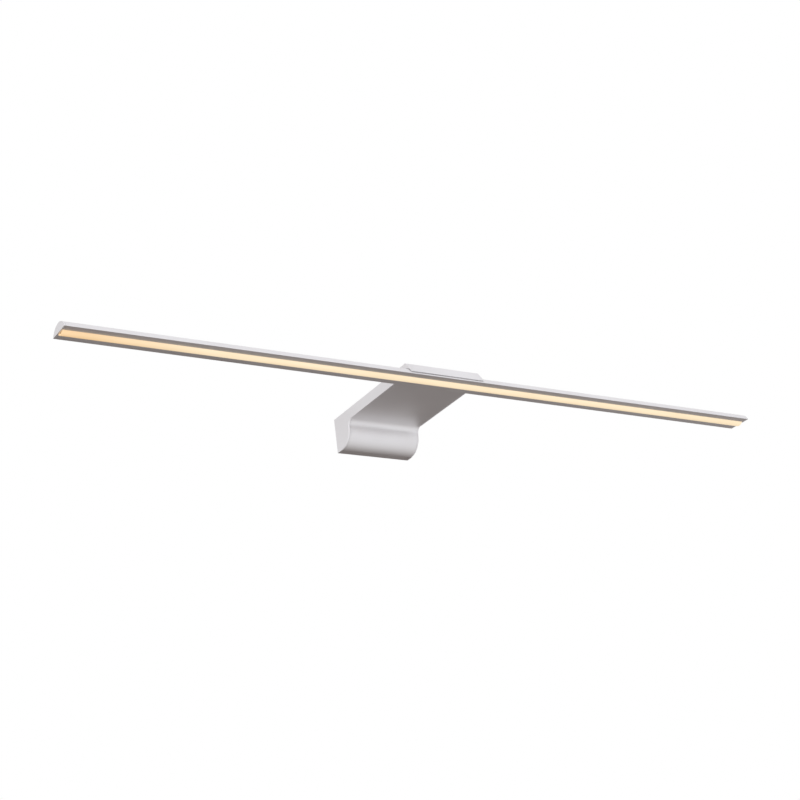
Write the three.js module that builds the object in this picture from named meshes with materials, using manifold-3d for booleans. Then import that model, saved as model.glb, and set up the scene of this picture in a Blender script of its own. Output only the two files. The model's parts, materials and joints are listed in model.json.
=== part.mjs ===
// Slim LED wall light for a mirror or picture, in millimetres, +Z up.
// The wall is the plane Y = 0 and the lamp stands out from it towards -Y; +X runs along the bar.
// The origin is on the wall, at the middle of the wall block's back.
import * as THREE from "three";
import { mergeVertices } from "three/addons/utils/BufferGeometryUtils.js";
import Module from "manifold-3d";

const wasm = await Module();
wasm.setup();

// ---------------------------------------------------------------- driving dimensions

const fit = {
  seam: 0.1, // between two pieces that butt together
  slip: 0.3, // between a piece and what it slides or plugs into
  thread: 0.2, // round a screw in its threaded hole
  hair: 0.05, // under a screw head, and beside a thin piece
};
const past = 1; // how far a cutting tool runs past what it cuts
const bite = 0.5; // how far a boss or a peg runs into what it is joined to

const bar = {
  length: 600,
  width: 21,
  height: 7, // from the underside to the crown of the arched back
  wall: 1.2,
  lip: 6.2, // each of the two flat strips beside the lens
  shoulder: 1.8, // height of the solid strip behind each lip
  web: 0.8, // floor that carries the LED strip
  tilt: 15, // degrees each way
};

const lens = { drop: 1.8, wall: 0.9, foot: 0.7, footDepth: 0.8, grooveEdge: 0.3 };
const strip = { width: 8, board: 0.6, chip: 3, chipHeight: 0.6, pitch: 15, endGap: 2 };
const cap = { thickness: 1.2, plug: 6 };

const arm = {
  width: 64.5,
  reach: 117, // from the wall to the front of the bar
  wall: 1.5,
  barBelow: 2.6, // how far the bar's underside hangs below the arm's
  sidePlate: 1.5,
  wallGap: 0.3,
};

const block = { height: 28.4, depth: 20.9, bulge: 14.4, fillet: 5 };
const nose = {
  setback: 7.9, // from the bar's front edge to the front of the top face
  innerSetback: 8.1,
  foot: 5,
  lipHeight: 1.8, // of the lip over the bar's underside
  lip: 0.5,
  lipPull: { y: 3.4, z: 4.8 }, // how the front swells from the lip
  topPull: { y: 1.6, z: 0.2 }, // and how it comes up to the top face
};
const saddle = {
  crown: 1.2,
  front: 0.4,
  back: 7,
  ear: 10,
  earThickness: 1.5,
  sideGap: 0.5,
  notch: 5, // half the width of the notch for the leads
  notchFront: 1.8,
};
const clamp = { inset: 0.4, thickness: 1.2, halfWidth: 2.75, halfLength: 24, window: 1.2 };
const panHead = { crown: 0.8, side: 0.6, slotDepth: 0.5, slotLength: 0.6, slotWidth: 0.14 };
const swivelScrew = { x: 18, shaft: 1.25, head: 2.2, headHeight: 0.9 };
const springWasher = { radius: 2.2, thickness: 0.25 };
const saddleScrew = {
  x: 24,
  shaft: 1,
  head: 2,
  headHeight: 1,
  fromBack: 5.5, // from the saddle's back edge
  boss: 2.4,
  intoTop: 0.6, // past the underside of the arm's top
  holeIntoTop: 0.9,
};
const headroom = 1.4; // over the saddle, for the heads of the swivel screws
const peg = { radius: 1.2, length: 5, boss: 2.2, bossLength: 7, off: 1.7 };
const pegShare = { armTop: 1.8, blockTop: 0.57, blockBottom: 0.37, armBottom: 0.8 };

const bracket = {
  halfWidth: 29,
  thickness: 2,
  edge: 0.5, // clearance to the inside of the block, top and bottom
  flangeDrop: 4.2, // from the block's top to the flange's top
  flangeDepth: 9,
  backGap: 0.2, // what goes through the plate ends this far inside its back
};
const wallSlot = { x: 24, width: 4, length: 8 };
const cableHole = { x: 11, z: -4, radius: 6 };
const grommet = { bore: 4, flange: 7, thickness: 1.2 };
const lockScrew = {
  x: 20,
  depth: 3.9,
  radius: 1.5,
  length: 8,
  socket: 0.8,
  socketDepth: 1.8,
  recess: 0.3,
};
const earthScrew = { x: -3, z: -8, shaft: 1.5, head: 2.8, headHeight: 1.8 };
const earthWasher = { radius: 3.2, thickness: 0.5 };

const terminal = {
  x: 3,
  length: 24,
  depth: 7.5,
  thickness: 9,
  top: 7,
  height: 10,
  poles: 3,
  wire: 1.1,
  wireDepth: 7,
  well: 1.6,
};
const terminalScrew = { radius: 1.3, length: 3.4, sink: 0.4, slotDepth: 0.7, slotHalf: 0.25 };
const terminalFoot = { x: 15, width: 6, height: 3.5, peg: 1.4, pegLength: 3, pegBack: 0.3 };

const driver = {
  x: -29,
  length: 26,
  depth: 5.8,
  thickness: 10.8,
  wall: 1.2,
  lid: 1.4,
  top: 7.8,
  bottomClear: 7, // above the block's bottom face
};
const driverScrew = {
  inset: [8, 17], // from the case's inner end
  fromFront: 2.6,
  shaft: 1,
  head: 1.9,
  headHeight: 1.1,
  boss: 2.2,
  belowCeiling: 1.4,
};
const circuit = {
  thickness: 1.2,
  above: 2.5, // over the case's floor
  fromScrews: 1.9,
  footShares: [0.1, 0.9],
  footHalf: 1,
  footInset: 1,
  transformer: { x: 2, length: 8, height: 6, inset: 0.6 },
  capacitor: { x: 14, radius: 2, height: 6 },
};
const lead = {
  radius: 0.6,
  spacing: 1.3,
  aboveBar: 1.6, // the run along the arm, over the bar's crown
  clear: 0.4, // room round the leads in the web
  fromCaseEnd: 3.5,
  startDepth: 11,
  startAbove: 7.5, // over the case's bottom
  end: 0.5, // below the web
};
const mainsLead = { radius: 0.7, depth: 13.5, z: [0.5, 4], intoTerminal: 2, intoCase: 3 };

// ---------------------------------------------------------------- places worked out from them

const topZ = block.height / 2;
const bottomZ = -topZ;
const armThickness =
  bar.height - arm.barBelow + fit.slip + saddle.crown + headroom + arm.wall;
const underZ = topZ - armThickness;
const barZ = underZ - arm.barBelow; // the bar's underside
const barY = -arm.reach; // the bar's front edge
const archRadius = (bar.width ** 2 / 4 + bar.height ** 2) / (2 * bar.height);
const pivot = { y: barY + bar.width / 2, z: barZ + bar.height - archRadius };
const pocketRadius = archRadius + fit.slip;
const wallY = -arm.wallGap;
const ceilingZ = topZ - arm.wall;
const shellHalf = arm.width / 2 - arm.sidePlate - fit.seam;
const tiltAngle = THREE.MathUtils.degToRad(bar.tilt);
const saddleTop = barZ + bar.height + fit.slip + saddle.crown;
const leadHalf = lead.spacing + lead.radius + fit.slip; // half the width of what the leads pass through

// Point of a circle about the pivot at a given height, on the wall side (+1) or the front (-1).
function onCircle(radius, z, side) {
  return { y: pivot.y + side * Math.sqrt(radius ** 2 - (z - pivot.z) ** 2), z };
}

// Point of the pocket's ceiling at a given Y.
function onPocket(y) {
  return { y, z: pivot.z + Math.sqrt(pocketRadius ** 2 - (y - pivot.y) ** 2) };
}

// Angle about the pivot of a point in the YZ plane.
function angleOf(point) {
  return Math.atan2(point.z - pivot.z, point.y - pivot.y);
}

// ---------------------------------------------------------------- solids

function solidFrom(geometry) {
  const plain = new THREE.BufferGeometry();
  plain.setAttribute("position", geometry.getAttribute("position"));
  plain.setIndex(geometry.getIndex());
  const merged = mergeVertices(plain, 1e-4);
  return new wasm.Manifold(
    new wasm.Mesh({
      numProp: 3,
      vertProperties: merged.getAttribute("position").array,
      triVerts: new Uint32Array(merged.getIndex().array),
    }),
  );
}

function geometryFrom(solid) {
  const mesh = solid.getMesh();
  const points = new Float32Array(mesh.numVert * 3);
  for (let i = 0; i < mesh.numVert; i += 1) {
    points.set(mesh.vertProperties.subarray(i * mesh.numProp, i * mesh.numProp + 3), i * 3);
  }
  const geometry = new THREE.BufferGeometry();
  geometry.setAttribute("position", new THREE.BufferAttribute(points, 3));
  geometry.setIndex(new THREE.BufferAttribute(new Uint32Array(mesh.triVerts), 1));
  const faceted = geometry.toNonIndexed();
  faceted.computeVertexNormals();
  return faceted;
}

function join(...solids) {
  return solids.reduce((whole, next) => whole.add(next));
}

function cut(solid, ...tools) {
  return tools.reduce((left, tool) => left.subtract(tool), solid);
}

function box(x, y, z) {
  const geometry = new THREE.BoxGeometry(x[1] - x[0], y[1] - y[0], z[1] - z[0]);
  geometry.translate((x[0] + x[1]) / 2, (y[0] + y[1]) / 2, (z[0] + z[1]) / 2);
  return solidFrom(geometry);
}

// Extrudes a shape drawn in the YZ plane along X.
function prism(shape, x0, x1, curveSegments = 6) {
  const geometry = new THREE.ExtrudeGeometry(shape, {
    depth: x1 - x0,
    bevelEnabled: false,
    curveSegments,
  });
  const drawnInYZ = new THREE.Matrix4().makeBasis(
    new THREE.Vector3(0, 1, 0),
    new THREE.Vector3(0, 0, 1),
    new THREE.Vector3(1, 0, 0),
  );
  geometry.applyMatrix4(drawnInYZ);
  geometry.translate(x0, 0, 0);
  return solidFrom(geometry);
}

// Turns a profile of [radius, height] points about the line from a point along a direction.
function turned(profile, from, direction, sides = 12) {
  const points = profile.map(([radius, height]) => new THREE.Vector2(radius, height));
  const geometry = new THREE.LatheGeometry(points, sides);
  const turn = new THREE.Quaternion().setFromUnitVectors(
    new THREE.Vector3(0, 1, 0),
    direction,
  );
  geometry.applyQuaternion(turn);
  geometry.translate(from.x, from.y, from.z);
  return solidFrom(geometry);
}

const along = {
  x: new THREE.Vector3(1, 0, 0),
  y: new THREE.Vector3(0, 1, 0),
  z: new THREE.Vector3(0, 0, 1),
};

function at(x, y, z) {
  return new THREE.Vector3(x, y, z);
}

function rod(radius, from, direction, length, sides = 12) {
  return turned(
    [
      [0, 0],
      [radius, 0],
      [radius, length],
      [0, length],
    ],
    from,
    direction,
    sides,
  );
}

// Ring sector about the pivot, centred over it, cut or kept along a stretch of X.
function sector(inner, outer, halfAngle, x0, x1) {
  const shape = new THREE.Shape();
  const middle = Math.PI / 2;
  shape.absarc(pivot.y, pivot.z, outer, middle - halfAngle, middle + halfAngle, false);
  shape.absarc(pivot.y, pivot.z, inner, middle + halfAngle, middle - halfAngle, true);
  shape.closePath();
  return prism(shape, x0, x1);
}

function roundTube(points, radius, steps) {
  const section = new THREE.Shape();
  section.absarc(0, 0, radius, 0, 2 * Math.PI, false);
  const path = new THREE.CatmullRomCurve3(points, false, "centripetal");
  const geometry = new THREE.ExtrudeGeometry(section, {
    extrudePath: path,
    steps,
    curveSegments: 4,
    bevelEnabled: false,
  });
  return solidFrom(geometry);
}

// Pan-head screw: its seat is at the given point, its shaft runs along the direction.
function panScrew(seat, direction, size, length) {
  const body = turned(
    [
      [0, -size.headHeight],
      [size.head * panHead.crown, -size.headHeight],
      [size.head, -size.headHeight * panHead.side],
      [size.head, 0],
      [size.shaft, 0],
      [size.shaft, length],
      [0, length],
    ],
    seat,
    direction,
  );
  const back = direction.clone().multiplyScalar(-size.headHeight);
  const slot = size.headHeight * panHead.slotDepth;
  const long = size.head * panHead.slotLength;
  const thin = size.head * panHead.slotWidth;
  const middle = seat.clone().add(back);
  const isAlong = (axis) => Math.abs(direction.dot(along[axis])) > 0.5;
  const blade = (wide) => {
    const half = {};
    for (const axis of ["x", "y", "z"]) {
      half[axis] = isAlong(axis) ? slot : axis === wide ? long : thin;
    }
    return box(
      [middle.x - half.x, middle.x + half.x],
      [middle.y - half.y, middle.y + half.y],
      [middle.z - half.z, middle.z + half.z],
    );
  };
  const across = ["x", "y", "z"].filter((axis) => !isAlong(axis));
  return cut(body, ...across.map(blade));
}

// ---------------------------------------------------------------- outline of the arm

const mouth = onCircle(pocketRadius, underZ, 1); // where the pocket meets the arm's underside
const lipInner = onCircle(pocketRadius, barZ + nose.lipHeight, -1);
const lipOuter = {
  y: pivot.y + (pocketRadius + nose.lip) * Math.cos(angleOf(lipInner)),
  z: pivot.z + (pocketRadius + nose.lip) * Math.sin(angleOf(lipInner)),
};
const noseTop = { y: barY + nose.setback, z: topZ };
const noseFoot = onPocket(barY + nose.foot);
const noseInnerTopY = barY + nose.innerSetback;

// The underside from the wall to the bar: flat bottom, round front, fillet, level arm.
function drawUnderside(shape, thickness = 0) {
  const bulgeY = -(block.depth - block.bulge);
  const filletY = -(block.depth + block.fillet);
  shape.lineTo(bulgeY, bottomZ + thickness);
  shape.absarc(bulgeY, bottomZ + block.bulge, block.bulge - thickness, -Math.PI / 2, -Math.PI, true);
  shape.absarc(filletY, underZ - block.fillet, block.fillet + thickness, 0, Math.PI / 2, false);
}

// The nose from its lip on the bar up to the top face.
function drawNoseFront(shape) {
  shape.lineTo(lipOuter.y, lipOuter.z);
  shape.bezierCurveTo(
    lipOuter.y + nose.lipPull.y,
    lipOuter.z + nose.lipPull.z,
    noseTop.y - nose.topPull.y,
    noseTop.z - nose.topPull.z,
    noseTop.y,
    noseTop.z,
  );
}

// ---------------------------------------------------------------- arm and block

function pegBosses(places) {
  const bosses = [];
  for (const side of [-1, 1]) {
    for (const place of places) {
      const x = side < 0 ? -shellHalf : shellHalf - peg.bossLength;
      bosses.push(rod(peg.boss, at(x, place.y, place.z), along.x, peg.bossLength));
    }
  }
  return bosses;
}

function pegHoles(places) {
  const radius = peg.radius + fit.slip;
  const start = -shellHalf - past;
  return places.map((place) =>
    rod(radius, at(start, place.y, place.z), along.x, 2 * (shellHalf + past)),
  );
}

const topPegs = [
  { y: -(block.depth + block.fillet) * pegShare.armTop, z: ceilingZ - peg.off },
  { y: -block.depth * pegShare.blockTop, z: ceilingZ - peg.off },
];
const lowerPegs = [
  { y: -block.depth * pegShare.blockBottom, z: bottomZ + arm.wall + peg.off },
  { y: -(arm.reach - bar.width) * pegShare.armBottom, z: underZ + arm.wall + peg.off },
];

function armTop() {
  const shape = new THREE.Shape();
  shape.moveTo(wallY, topZ);
  shape.lineTo(wallY, ceilingZ);
  shape.lineTo(noseInnerTopY, ceilingZ);
  shape.lineTo(noseFoot.y, noseFoot.z);
  shape.absarc(pivot.y, pivot.z, pocketRadius, angleOf(noseFoot), angleOf(lipInner), false);
  drawNoseFront(shape);
  shape.closePath();
  const plate = prism(shape, -shellHalf, shellHalf, 8);
  const holes = [];
  for (const side of [-1, 1]) {
    const lockAt = at(side * lockScrew.x, -lockScrew.depth, ceilingZ - past);
    holes.push(rod(lockScrew.radius + fit.thread, lockAt, along.z, arm.wall + 2 * past));
  }
  return cut(
    join(plate, ...pegBosses(topPegs), ...saddleBosses(), ...driverBosses()),
    ...pegHoles(topPegs),
    ...saddleBossHoles(),
    ...driverBossHoles(),
    ...holes,
  );
}

function armLower() {
  const shape = new THREE.Shape();
  const mouthTop = onCircle(pocketRadius, underZ + arm.wall, 1);
  shape.moveTo(wallY, bottomZ);
  drawUnderside(shape);
  shape.lineTo(mouth.y, mouth.z);
  shape.lineTo(mouthTop.y, mouthTop.z);
  const inside = new THREE.Path();
  inside.moveTo(wallY, bottomZ + arm.wall);
  drawUnderside(inside, arm.wall);
  const back = inside.getPoints(8).reverse();
  for (const point of back) {
    shape.lineTo(point.x, point.y);
  }
  shape.closePath();
  const shell = prism(shape, -shellHalf, shellHalf, 8);
  return cut(join(shell, ...pegBosses(lowerPegs)), ...pegHoles(lowerPegs));
}

function sidePlate(side) {
  const shape = new THREE.Shape();
  shape.moveTo(wallY, bottomZ);
  drawUnderside(shape);
  shape.lineTo(mouth.y, mouth.z);
  shape.absarc(pivot.y, pivot.z, pocketRadius, angleOf(mouth), angleOf(lipInner), false);
  drawNoseFront(shape);
  shape.lineTo(wallY, topZ);
  shape.closePath();
  const outer = arm.width / 2;
  const inner = outer - arm.sidePlate;
  const x = side < 0 ? [-outer, -inner] : [inner, outer];
  const plate = prism(shape, x[0], x[1], 8);
  const pegs = [...topPegs, ...lowerPegs].map((place) => {
    const start = side < 0 ? -inner - bite : inner - peg.length;
    return rod(peg.radius, at(start, place.y, place.z), along.x, peg.length + bite);
  });
  return join(plate, ...pegs);
}

// ---------------------------------------------------------------- tilting joint

const saddleScrewY = pivot.y + saddle.back + saddle.ear - saddleScrew.fromBack;

function saddleBosses() {
  return [-1, 1].map((side) => {
    const foot = at(side * saddleScrew.x, saddleScrewY, saddleTop + fit.seam);
    return rod(saddleScrew.boss, foot, along.z, ceilingZ + bite - foot.z);
  });
}

function saddleBossHoles() {
  return [-1, 1].map((side) => {
    const foot = at(side * saddleScrew.x, saddleScrewY, saddleTop - past);
    const length = ceilingZ + saddleScrew.holeIntoTop - foot.z;
    return rod(saddleScrew.shaft + fit.thread, foot, along.z, length);
  });
}

function swivelSaddle() {
  const shape = new THREE.Shape();
  const back = onPocket(pivot.y + saddle.back);
  const front = onPocket(noseFoot.y + saddle.front);
  const noseSlope = (noseInnerTopY - noseFoot.y) / (ceilingZ - noseFoot.z);
  const frontTopY = front.y + (saddleTop - noseFoot.z) * noseSlope;
  const earBottom = saddleTop - saddle.earThickness;
  const earBack = back.y + saddle.ear;
  shape.moveTo(front.y, front.z);
  shape.absarc(pivot.y, pivot.z, pocketRadius, angleOf(front), angleOf(back), true);
  shape.lineTo(back.y, earBottom);
  shape.lineTo(earBack, earBottom);
  shape.lineTo(earBack, saddleTop);
  shape.lineTo(frontTopY, saddleTop);
  shape.closePath();
  const body = prism(shape, saddle.sideGap - shellHalf, shellHalf - saddle.sideGap, 8);
  const leadNotch = box(
    [-saddle.notch, saddle.notch],
    [pivot.y - saddle.notchFront, earBack + past],
    [barZ, saddleTop + past],
  );
  const holes = [];
  const through = saddleTop - barZ + past;
  for (const side of [-1, 1]) {
    const swivelAt = at(side * swivelScrew.x, pivot.y, barZ);
    holes.push(rod(swivelScrew.shaft + fit.slip, swivelAt, along.z, through));
    const fixAt = at(side * saddleScrew.x, saddleScrewY, barZ);
    holes.push(rod(saddleScrew.shaft + fit.slip, fixAt, along.z, through));
  }
  return cut(body, leadNotch, ...holes);
}

const clampOuter = archRadius - bar.wall - clamp.inset;

function clampPlate() {
  const halfAngle = Math.asin(clamp.halfWidth / clampOuter);
  const body = sector(
    clampOuter - clamp.thickness,
    clampOuter,
    halfAngle,
    -clamp.halfLength,
    clamp.halfLength,
  );
  const leadWindow = box(
    [-leadHalf, leadHalf],
    [pivot.y - clamp.window, pivot.y + clamp.window],
    [barZ, saddleTop],
  );
  const threads = [-1, 1].map((side) =>
    rod(swivelScrew.shaft + fit.thread, at(side * swivelScrew.x, pivot.y, barZ), along.z, bar.height),
  );
  return cut(body, leadWindow, ...threads);
}

function swivelScrewSolid(side) {
  const seatZ = saddleTop + springWasher.thickness + 2 * fit.hair;
  const length = seatZ - (pivot.z + clampOuter - clamp.thickness) - fit.seam;
  return panScrew(
    at(side * swivelScrew.x, pivot.y, seatZ),
    at(0, 0, -1),
    swivelScrew,
    length,
  );
}

function ring(outer, inner, from, direction, thickness) {
  return cut(
    rod(outer, from, direction, thickness),
    rod(inner, from.clone().addScaledVector(direction, -past), direction, thickness + 2 * past),
  );
}

function springWasherSolid(side) {
  return ring(
    springWasher.radius,
    swivelScrew.shaft + fit.slip / 2,
    at(side * swivelScrew.x, pivot.y, saddleTop + fit.hair),
    along.z,
    springWasher.thickness,
  );
}

function saddleScrewSolid(side) {
  const seatZ = saddleTop - saddle.earThickness - fit.hair;
  return panScrew(
    at(side * saddleScrew.x, saddleScrewY, seatZ),
    along.z,
    saddleScrew,
    ceilingZ + saddleScrew.intoTop - seatZ,
  );
}

// ---------------------------------------------------------------- light bar

const floorZ = barZ + bar.shoulder; // underside of the web
const webTop = floorZ + bar.web;
const lensHalf = bar.width / 2 - bar.lip;
const profileHalf = bar.length / 2 - cap.thickness - fit.seam;
const grooveBottom = barZ + lens.grooveEdge;

function drawArch(shape, radius, baseZ) {
  const left = onCircle(radius, baseZ, -1);
  const right = onCircle(radius, baseZ, 1);
  shape.moveTo(right.y, right.z);
  shape.absarc(pivot.y, pivot.z, radius, angleOf(right), angleOf(left), false);
}

function leadSlot(radius) {
  return Math.asin(Math.min(1, (leadHalf + radius * Math.sin(tiltAngle)) / radius));
}

function barProfile() {
  const section = new THREE.Shape();
  drawArch(section, archRadius, barZ);
  for (const side of [-1, 1]) {
    const edge = pivot.y + side * lensHalf;
    const deep = edge + side * lens.footDepth;
    const corners = [
      [edge, barZ],
      [edge, grooveBottom],
      [deep, grooveBottom],
      [deep, grooveBottom + lens.foot],
      [edge, grooveBottom + lens.foot],
      [edge, floorZ],
    ];
    for (const [y, z] of side < 0 ? corners : corners.reverse()) {
      section.lineTo(y, z);
    }
  }
  section.closePath();
  const hollow = new THREE.Path();
  drawArch(hollow, archRadius - bar.wall, webTop);
  hollow.closePath();
  section.holes.push(hollow);
  const body = prism(section, -profileHalf, profileHalf, 14);
  const screwHalf = swivelScrew.shaft + fit.slip;
  const screwAngle = tiltAngle + Math.asin(screwHalf / (archRadius - bar.wall));
  const tools = [];
  const slotInner = archRadius - bar.wall - fit.slip;
  const slotOuter = archRadius + past;
  for (const side of [-1, 1]) {
    const x = side * swivelScrew.x;
    tools.push(sector(slotInner, slotOuter, screwAngle, x - screwHalf, x + screwHalf));
  }
  tools.push(sector(slotInner, slotOuter, leadSlot(archRadius), -leadHalf, leadHalf));
  const webHalf = lead.radius + lead.clear + (webTop - pivot.z) * Math.tan(tiltAngle);
  tools.push(
    box([-leadHalf, leadHalf], [pivot.y - webHalf, pivot.y + webHalf], [floorZ - past, webTop + past]),
  );
  return cut(body, ...tools);
}

function endCap(side) {
  const face = new THREE.Shape();
  drawArch(face, archRadius, barZ);
  face.closePath();
  const outer = bar.length / 2;
  const inner = outer - cap.thickness;
  const plate = prism(face, side < 0 ? -outer : inner, side < 0 ? -inner : outer, 14);
  const plugShape = new THREE.Shape();
  drawArch(plugShape, archRadius - bar.wall - fit.slip, webTop + fit.slip);
  plugShape.closePath();
  const end = inner - cap.plug;
  const plug = prism(plugShape, side < 0 ? -inner - bite : end, side < 0 ? -end : inner + bite, 10);
  return join(plate, plug);
}

function diffuser() {
  const shape = new THREE.Shape();
  const half = lensHalf - fit.slip / 2;
  const reach = lensHalf + lens.footDepth - fit.slip;
  const footBottom = grooveBottom + fit.slip / 2;
  const footTop = footBottom + lens.foot - fit.slip;
  const radius = (half ** 2 + lens.drop ** 2) / (2 * lens.drop);
  const centreZ = barZ - lens.drop + radius;
  const sweep = Math.asin(half / radius);
  const innerHalf = half - lens.wall;
  const innerRadius = radius - lens.wall;
  const innerSweep = Math.asin(innerHalf / innerRadius);
  const down = -Math.PI / 2;
  shape.moveTo(pivot.y - reach, footBottom);
  shape.lineTo(pivot.y - half, footBottom);
  shape.absarc(pivot.y, centreZ, radius, down - sweep, down + sweep, false);
  shape.lineTo(pivot.y + half, footBottom);
  shape.lineTo(pivot.y + reach, footBottom);
  shape.lineTo(pivot.y + reach, footTop);
  shape.lineTo(pivot.y + innerHalf, footTop);
  shape.absarc(pivot.y, centreZ, innerRadius, down + innerSweep, down - innerSweep, true);
  shape.lineTo(pivot.y - innerHalf, footTop);
  shape.lineTo(pivot.y - reach, footTop);
  shape.closePath();
  return prism(shape, -profileHalf, profileHalf, 6);
}

function ledStrip() {
  const end = profileHalf - strip.endGap;
  const top = floorZ - fit.hair;
  const boardBottom = top - strip.board;
  const board = box(
    [-end, end],
    [pivot.y - strip.width / 2, pivot.y + strip.width / 2],
    [boardBottom, top],
  );
  const count = Math.floor((2 * end) / strip.pitch);
  const half = strip.chip / 2;
  const chips = [];
  for (let i = 0; i < count; i += 1) {
    const x = (i - (count - 1) / 2) * strip.pitch;
    chips.push(
      box(
        [x - half, x + half],
        [pivot.y - half, pivot.y + half],
        [boardBottom - strip.chipHeight, boardBottom + strip.board / 2],
      ),
    );
  }
  return join(board, ...chips);
}

// ---------------------------------------------------------------- wall bracket

const bracketTop = topZ - bracket.flangeDrop;
const bracketBottom = bottomZ + arm.wall + bracket.edge;

function wallBracket() {
  const plate = box(
    [-bracket.halfWidth, bracket.halfWidth],
    [-bracket.thickness, 0],
    [bracketBottom, bracketTop],
  );
  const flange = box(
    [-bracket.halfWidth, bracket.halfWidth],
    [-bracket.flangeDepth, 0],
    [bracketTop - bracket.thickness, bracketTop],
  );
  const tools = [];
  const through = bracket.thickness + 2 * past;
  for (const side of [-1, 1]) {
    const slot = new THREE.Shape();
    const run = (wallSlot.length - wallSlot.width) / 2;
    const radius = wallSlot.width / 2;
    slot.absarc(side * wallSlot.x + run, 0, radius, -Math.PI / 2, Math.PI / 2, false);
    slot.absarc(side * wallSlot.x - run, 0, radius, Math.PI / 2, 1.5 * Math.PI, false);
    slot.closePath();
    const geometry = new THREE.ExtrudeGeometry(slot, {
      depth: through,
      bevelEnabled: false,
      curveSegments: 8,
    });
    geometry.rotateX(Math.PI / 2);
    geometry.translate(0, past, 0);
    tools.push(solidFrom(geometry));
    tools.push(
      rod(
        lockScrew.radius + fit.thread,
        at(side * lockScrew.x, -lockScrew.depth, bracketTop - bracket.thickness - past),
        along.z,
        through,
      ),
    );
  }
  tools.push(rod(cableHole.radius, at(cableHole.x, past - through, cableHole.z), along.y, through, 24));
  tools.push(
    rod(
      earthScrew.shaft + fit.thread,
      at(earthScrew.x, past - through, earthScrew.z),
      along.y,
      through,
    ),
  );
  tools.push(
    rod(
      terminalFoot.peg + fit.slip,
      at(terminalFoot.x, past - through, terminalFootZ()),
      along.y,
      through,
    ),
  );
  return cut(join(plate, flange), ...tools);
}

function cableGrommet() {
  const neck = cableHole.radius - fit.slip;
  const front = -bracket.thickness - fit.slip;
  return turned(
    [
      [grommet.bore, front - grommet.thickness],
      [grommet.flange, front - grommet.thickness],
      [grommet.flange, front],
      [neck, front],
      [neck, -bracket.backGap],
      [grommet.bore, -bracket.backGap],
      [grommet.bore, front - grommet.thickness],
    ],
    at(cableHole.x, 0, cableHole.z),
    along.y,
    24,
  );
}

function earthScrewSolid() {
  const seatY = -bracket.thickness - earthWasher.thickness - 2 * fit.seam;
  return panScrew(
    at(earthScrew.x, seatY, earthScrew.z),
    along.y,
    earthScrew,
    -seatY - bracket.backGap,
  );
}

function earthWasherSolid() {
  return ring(
    earthWasher.radius,
    earthScrew.shaft + fit.thread,
    at(earthScrew.x, -bracket.thickness - earthWasher.thickness - fit.seam, earthScrew.z),
    along.y,
    earthWasher.thickness,
  );
}

function lockScrewSolid(side) {
  const head = topZ - lockScrew.recess;
  const place = at(side * lockScrew.x, -lockScrew.depth, head - lockScrew.length);
  const body = rod(lockScrew.radius, place, along.z, lockScrew.length);
  const socket = rod(
    lockScrew.socket,
    at(place.x, place.y, head - lockScrew.socketDepth),
    along.z,
    lockScrew.socketDepth + past,
    6,
  );
  return cut(body, socket);
}

// ---------------------------------------------------------------- terminal block and driver

function terminalFootZ() {
  return terminal.top - terminalFoot.height / 2;
}

function poleX(index) {
  const step = terminal.length / terminal.poles;
  return terminal.x + step * (index + 0.5);
}

const terminalFrontY = -(terminal.depth + terminal.thickness);
const terminalMidY = -(terminal.depth + terminal.thickness / 2);
const terminalMidZ = terminal.top - terminal.height / 2;

function terminalBlock() {
  const body = box(
    [terminal.x, terminal.x + terminal.length],
    [terminalFrontY, -terminal.depth],
    [terminal.top - terminal.height, terminal.top],
  );
  const foot = box(
    [terminalFoot.x - terminalFoot.width / 2, terminalFoot.x + terminalFoot.width / 2],
    [-terminal.depth - bite, -bracket.thickness - fit.seam],
    [terminal.top - terminalFoot.height, terminal.top],
  );
  const footPeg = rod(
    terminalFoot.peg,
    at(terminalFoot.x, -terminalFoot.pegBack - terminalFoot.pegLength, terminalFootZ()),
    along.y,
    terminalFoot.pegLength,
  );
  const tools = [];
  for (let i = 0; i < terminal.poles; i += 1) {
    const x = poleX(i);
    const bottom = terminal.top - terminal.height;
    const wireAt = at(x, terminalMidY, bottom - past);
    const wellAt = at(x, terminalFrontY - past, terminalMidZ);
    tools.push(rod(terminal.wire, wireAt, along.z, terminal.wireDepth + past));
    tools.push(rod(terminal.well, wellAt, along.y, terminal.thickness / 2 + past));
  }
  for (const z of mainsLead.z) {
    tools.push(
      rod(
        mainsLead.radius + fit.slip,
        at(terminal.x - past, -mainsLead.depth, z),
        along.x,
        mainsLead.intoTerminal + fit.slip + past,
      ),
    );
  }
  return cut(join(body, foot, footPeg), ...tools);
}

function terminalScrewSolid(index) {
  const start = at(poleX(index), terminalFrontY + terminalScrew.sink, terminalMidZ);
  const body = rod(terminalScrew.radius, start, along.y, terminalScrew.length);
  const slot = box(
    [start.x - terminalScrew.radius - past, start.x + terminalScrew.radius + past],
    [start.y - past, start.y + terminalScrew.slotDepth],
    [start.z - terminalScrew.slotHalf, start.z + terminalScrew.slotHalf],
  );
  return cut(body, slot);
}

const driverX = [driver.x, driver.x + driver.length];
const driverY = [-(driver.depth + driver.thickness), -driver.depth];
const driverBottom = bottomZ + driver.bottomClear;
const driverBaseTop = driver.top - driver.lid - fit.seam;
const driverScrewY = driverY[0] + driverScrew.fromFront;

function driverScrewPlaces() {
  return driverScrew.inset.map((inset) => at(driverX[1] - inset, driverScrewY, 0));
}

function driverBosses() {
  return driverScrewPlaces().map((place) => {
    const foot = at(place.x, place.y, driver.top + fit.seam);
    return rod(driverScrew.boss, foot, along.z, ceilingZ + bite - foot.z);
  });
}

function driverBossHoles() {
  return driverScrewPlaces().map((place) => {
    const foot = at(place.x, place.y, driver.top - past);
    return rod(driverScrew.shaft + fit.thread, foot, along.z, ceilingZ - foot.z);
  });
}

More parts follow.
